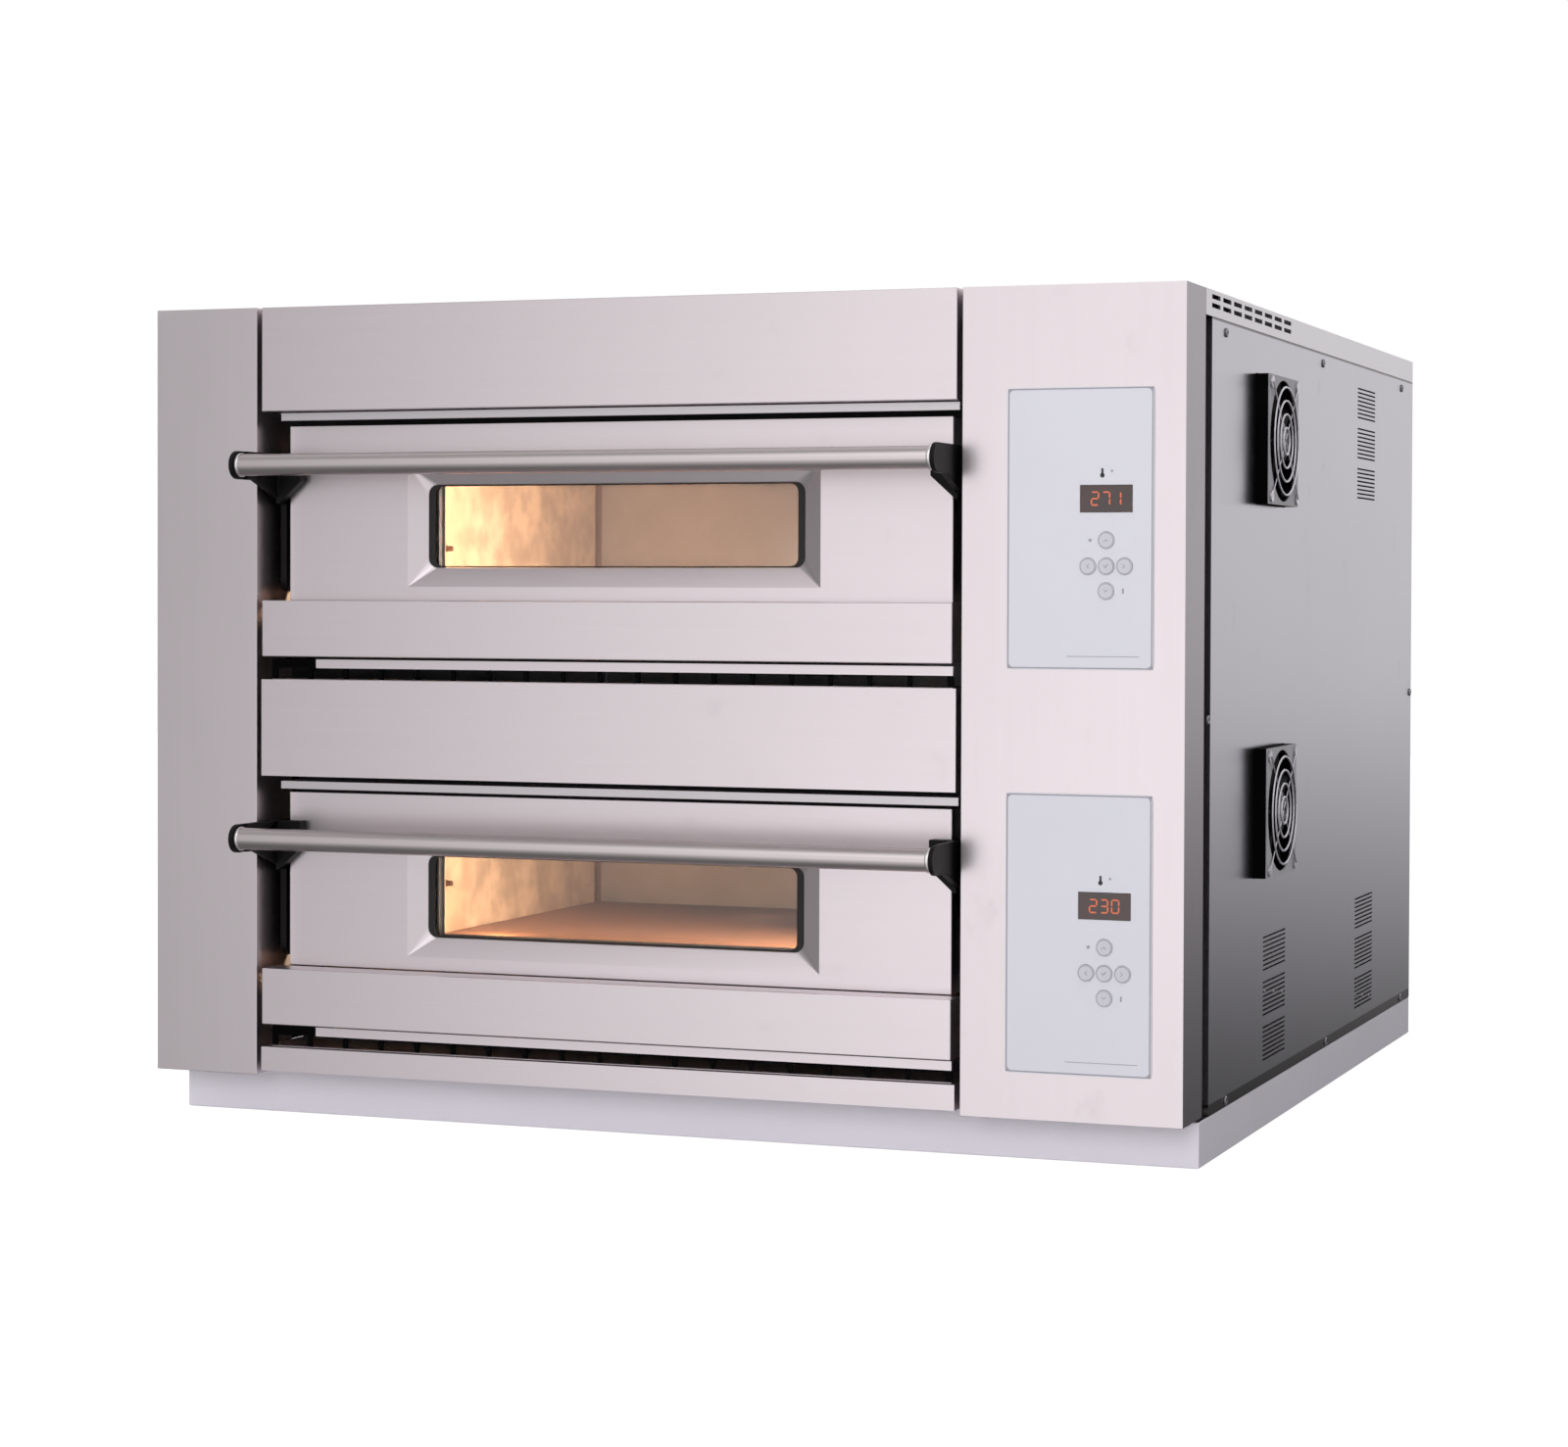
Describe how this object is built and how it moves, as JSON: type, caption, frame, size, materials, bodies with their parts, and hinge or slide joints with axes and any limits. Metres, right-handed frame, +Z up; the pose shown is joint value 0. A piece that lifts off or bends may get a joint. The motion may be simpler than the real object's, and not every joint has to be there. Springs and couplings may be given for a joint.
{
  "type": "double-deck electric pizza oven",
  "caption": "Double-deck electric pizza oven in brushed steel with drop-down glass doors, bar handles, keypad controls on the right and side fans.",
  "frame": {"origin": "underside of the base plinth, in the middle of the casing's width and depth", "axes": "+Z up, the doors face -Y, +X towards the control panels, on the right of someone who faces the doors"},
  "size_m": [1.016, 1.1019, 0.7605],
  "materials": {
    "stainless": "brushed stainless sheet, grain along the length of each panel, faint lilac tone",
    "side_sheet": "satin stainless sheet, smoother than the front",
    "base_paint": "pale grey satin powder coat",
    "bar_steel": "polished and lightly brushed tube",
    "black_moulding": "heat-proof black moulding, fine texture",
    "liner_steel": "heat-browned steel sheet",
    "hearth_stone": "pressed refractory stone, floured and scorched",
    "heater_sheath": "dark oxidised heating element sheath",
    "window_glass": "clear heat-proof glass",
    "lamp_glass": "frosted warm lamp glass",
    "membrane": "printed satin polyester membrane",
    "key_film": "domed membrane key",
    "display_lens": "dark red display lens",
    "circuit_board": "green solder mask",
    "fan_black": "black glass-filled moulding",
    "guard_wire": "bright plated wire",
    "hinge_steel": "zinc-plated steel plate",
    "gland_plastic": "black nylon",
    "terminal_plastic": "grey moulded enclosure"
  },
  "bodies": {
    "oven_body": {"base_plinth": "base_paint", "left_front_column": "stainless", "right_front_column": "stainless", "upper_fascia": "stainless", "middle_fascia": "stainless", "bottom_rail": "stainless", "top_cover": "stainless", "left_side_panel": "side_sheet", "right_side_panel": "side_sheet", "back_panel": "side_sheet", "cable_gland": "gland_plastic", "terminal_box": "terminal_plastic", "left_hinge_plate": "hinge_steel", "right_hinge_plate": "hinge_steel", "lower_sill": "stainless", "lower_chamber_liner": "liner_steel", "lower_hearth_stone": "hearth_stone", "lower_ceiling_heater": "heater_sheath", "lower_lamp_lens": "lamp_glass", "lower_control_membrane": "membrane", "lower_display": "display_lens", "lower_control_board": "circuit_board", "lower_fan_frame": "fan_black", "lower_fan_guard": "guard_wire", "upper_sill": "stainless", "upper_chamber_liner": "liner_steel", "upper_hearth_stone": "hearth_stone", "upper_ceiling_heater": "heater_sheath", "upper_lamp_lens": "lamp_glass", "upper_control_membrane": "membrane", "upper_display": "display_lens", "upper_control_board": "circuit_board", "upper_fan_frame": "fan_black", "upper_fan_guard": "guard_wire"},
    "lower_door": {"lower_door_skin": "stainless", "lower_door_liner": "liner_steel", "lower_outer_glass": "window_glass", "lower_inner_glass": "window_glass", "lower_handle_bar": "bar_steel", "lower_left_bracket": "black_moulding", "lower_right_bracket": "black_moulding"},
    "lower_fan_wheel": {"lower_fan_rotor": "fan_black"},
    "lower_key_top_cap": {"lower_key_top": "key_film"},
    "lower_key_left_cap": {"lower_key_left": "key_film"},
    "lower_key_middle_cap": {"lower_key_middle": "key_film"},
    "lower_key_right_cap": {"lower_key_right": "key_film"},
    "lower_key_bottom_cap": {"lower_key_bottom": "key_film"},
    "upper_door": {"upper_door_skin": "stainless", "upper_door_liner": "liner_steel", "upper_outer_glass": "window_glass", "upper_inner_glass": "window_glass", "upper_handle_bar": "bar_steel", "upper_left_bracket": "black_moulding", "upper_right_bracket": "black_moulding"},
    "upper_fan_wheel": {"upper_fan_rotor": "fan_black"},
    "upper_key_top_cap": {"upper_key_top": "key_film"},
    "upper_key_left_cap": {"upper_key_left": "key_film"},
    "upper_key_middle_cap": {"upper_key_middle": "key_film"},
    "upper_key_right_cap": {"upper_key_right": "key_film"},
    "upper_key_bottom_cap": {"upper_key_bottom": "key_film"}
  },
  "joints": [
    {"name": "lower_door_hinge", "type": "hinge", "parent": "oven_body", "child": "lower_door", "pos_m": [-0.046, -0.46425, 0.1635], "axis": [1, 0, 0], "range_deg": [0, 90]},
    {"name": "lower_fan_spin", "type": "hinge", "parent": "oven_body", "child": "lower_fan_wheel", "pos_m": [0.5, -0.19625, 0.295], "axis": [1, 0, 0], "continuous": true},
    {"name": "lower_key_top_press", "type": "slide", "parent": "oven_body", "child": "lower_key_top_cap", "axis": [0, 1, 0], "range_m": [0, 0.0006], "stiffness_N_per_m": 2000},
    {"name": "lower_key_left_press", "type": "slide", "parent": "oven_body", "child": "lower_key_left_cap", "axis": [0, 1, 0], "range_m": [0, 0.0006], "stiffness_N_per_m": 2000},
    {"name": "lower_key_middle_press", "type": "slide", "parent": "oven_body", "child": "lower_key_middle_cap", "axis": [0, 1, 0], "range_m": [0, 0.0006], "stiffness_N_per_m": 2000},
    {"name": "lower_key_right_press", "type": "slide", "parent": "oven_body", "child": "lower_key_right_cap", "axis": [0, 1, 0], "range_m": [0, 0.0006], "stiffness_N_per_m": 2000},
    {"name": "lower_key_bottom_press", "type": "slide", "parent": "oven_body", "child": "lower_key_bottom_cap", "axis": [0, 1, 0], "range_m": [0, 0.0006], "stiffness_N_per_m": 2000},
    {"name": "upper_door_hinge", "type": "hinge", "parent": "oven_body", "child": "upper_door", "pos_m": [-0.046, -0.46425, 0.5075], "axis": [1, 0, 0], "range_deg": [0, 90]},
    {"name": "upper_fan_spin", "type": "hinge", "parent": "oven_body", "child": "upper_fan_wheel", "pos_m": [0.5, -0.19625, 0.639], "axis": [1, 0, 0], "continuous": true},
    {"name": "upper_key_top_press", "type": "slide", "parent": "oven_body", "child": "upper_key_top_cap", "axis": [0, 1, 0], "range_m": [0, 0.0006], "stiffness_N_per_m": 2000},
    {"name": "upper_key_left_press", "type": "slide", "parent": "oven_body", "child": "upper_key_left_cap", "axis": [0, 1, 0], "range_m": [0, 0.0006], "stiffness_N_per_m": 2000},
    {"name": "upper_key_middle_press", "type": "slide", "parent": "oven_body", "child": "upper_key_middle_cap", "axis": [0, 1, 0], "range_m": [0, 0.0006], "stiffness_N_per_m": 2000},
    {"name": "upper_key_right_press", "type": "slide", "parent": "oven_body", "child": "upper_key_right_cap", "axis": [0, 1, 0], "range_m": [0, 0.0006], "stiffness_N_per_m": 2000},
    {"name": "upper_key_bottom_press", "type": "slide", "parent": "oven_body", "child": "upper_key_bottom_cap", "axis": [0, 1, 0], "range_m": [0, 0.0006], "stiffness_N_per_m": 2000}
  ]
}
